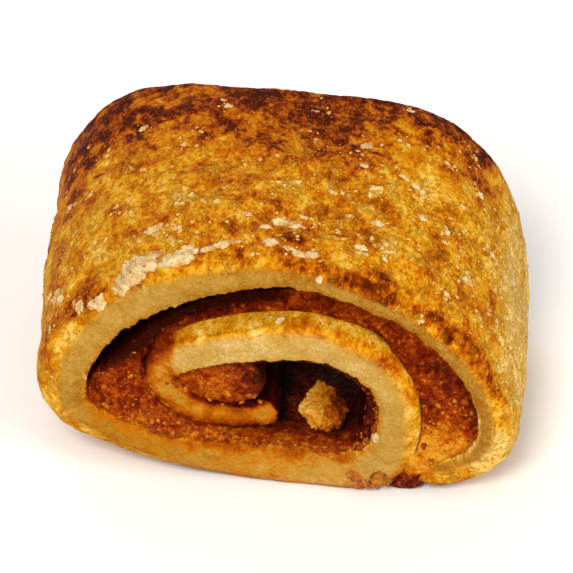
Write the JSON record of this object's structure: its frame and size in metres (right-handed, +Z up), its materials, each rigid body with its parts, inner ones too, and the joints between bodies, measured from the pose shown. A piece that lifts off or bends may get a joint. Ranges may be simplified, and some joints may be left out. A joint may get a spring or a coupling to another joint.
{
  "type": "rugelach",
  "caption": "Baked slice of a flattened roll of flaky pastry dough, wound in a spiral round a dark sweet filling with a lump of nut in its hollow heart.",
  "frame": {"origin": "centre of the bounding box in X and Y, on the surface the piece rests on", "axes": "+Z up; the roll runs along Y with its front cut face towards -Y; +X to the right seen from the front, across the roll's long side"},
  "size_m": [0.0446, 0.0314, 0.0255],
  "materials": {
    "crust_gold": "flaky golden-brown baked dough with pale sugar clumps",
    "filling_brown": "gritty, slightly glossy brown sugar and spice filling",
    "nut_tan": "rough tan nut"
  },
  "bodies": {
    "root": {"dough": "crust_gold", "filling": "filling_brown", "nut": "nut_tan"}
  },
  "joints": []
}
